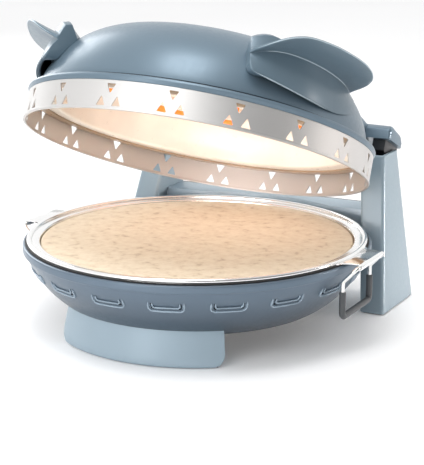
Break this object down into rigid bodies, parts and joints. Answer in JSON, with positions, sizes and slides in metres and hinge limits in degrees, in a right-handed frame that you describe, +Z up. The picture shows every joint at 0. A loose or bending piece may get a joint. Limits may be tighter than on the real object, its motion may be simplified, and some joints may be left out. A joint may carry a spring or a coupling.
{
  "type": "countertop pizza oven",
  "caption": "Round countertop oven with a louvred bowl, stone in a bail-handled tray and a domed lid with wing-shaped handles that swings on rear columns.",
  "frame": {"origin": "on the table, at the middle of the footprint with the lid as modelled, 24 degrees open", "axes": "+Z up, front towards -Y, +X to the right of someone who faces the front"},
  "size_m": [0.3804, 0.3836, 0.3121],
  "materials": {
    "bowl_paint": "satin steel-blue paint",
    "dome_paint": "satin steel-blue paint",
    "stand_paint": "satin steel-blue plastic",
    "black_rubber": "matt",
    "black_plastic": "fine-grained",
    "chrome": "bright",
    "zinc_steel": "zinc plated",
    "pan_steel": "aluminised",
    "element": "heat-darkened sheath",
    "glowing_element": "sheath, glowing",
    "wool": "mineral wool",
    "brass": "plain",
    "ceramic": "steatite",
    "stone": "fired stone",
    "cream_enamel": "satin enamel",
    "brown_enamel": "dark enamel",
    "grip": "soft-touch sleeve",
    "red_lens": "translucent"
  },
  "bodies": {
    "base": {"base_bowl": "bowl_paint", "rim_gasket": "black_rubber", "lower_reflector": "pan_steel", "lower_heater": "element", "lower_heater_supports": "zinc_steel", "base_insulation": "wool", "bottom_cover": "black_plastic", "bottom_screws": "zinc_steel", "front_foot": "stand_paint", "foot_screws": "zinc_steel", "foot_pads": "black_rubber", "left_column": "stand_paint", "right_column": "stand_paint", "column_base_plates": "black_plastic", "bowl_brackets": "black_plastic", "rear_bridge": "stand_paint", "rear_cover": "black_plastic", "rear_cover_screws": "zinc_steel", "cord_gland": "black_plastic", "terminal_block": "ceramic", "thermal_fuse": "brass", "thermostat": "zinc_steel", "indicator_lens": "red_lens", "left_hinge_block": "black_plastic", "right_hinge_block": "black_plastic", "hinge_pins": "zinc_steel", "hinge_washers": "brass", "stone_tray": "chrome", "pizza_stone": "stone"},
    "lid": {"lid_band": "chrome", "lid_dome": "dome_paint", "lid_liner": "cream_enamel", "liner_ring": "brown_enamel", "lid_insulation": "wool", "upper_heater": "glowing_element", "upper_heater_supports": "zinc_steel", "left_lid_arm": "dome_paint", "right_lid_arm": "dome_paint", "left_knuckle": "black_plastic", "right_knuckle": "black_plastic", "arm_screws": "zinc_steel", "left_wing_handle": "dome_paint", "right_wing_handle": "dome_paint", "wing_screws": "zinc_steel"},
    "knob": {"control_knob": "black_plastic"},
    "left_bail_body": {"left_bail": "chrome", "left_bail_grip": "grip"},
    "right_bail_body": {"right_bail": "chrome", "right_bail_grip": "grip"}
  },
  "joints": [
    {"name": "lid_hinge", "type": "hinge", "parent": "base", "child": "lid", "pos_m": [0, 0.17327, 0.14], "axis": [-1, 0, 0], "range_deg": [-24, 51]},
    {"name": "knob_turn", "type": "hinge", "parent": "base", "child": "knob", "pos_m": [-0.15337, 0.14399, 0.062], "axis": [0.9904, 0, -0.1379], "range_deg": [0, 270]},
    {"name": "left_bail_swing", "type": "hinge", "parent": "base", "child": "left_bail_body", "pos_m": [-0.187, -0.01673, 0.08854], "axis": [0, 1, 0], "range_deg": [0, 110]},
    {"name": "right_bail_swing", "type": "hinge", "parent": "base", "child": "right_bail_body", "pos_m": [0.187, -0.01673, 0.08854], "axis": [0, -1, 0], "range_deg": [0, 110]}
  ]
}
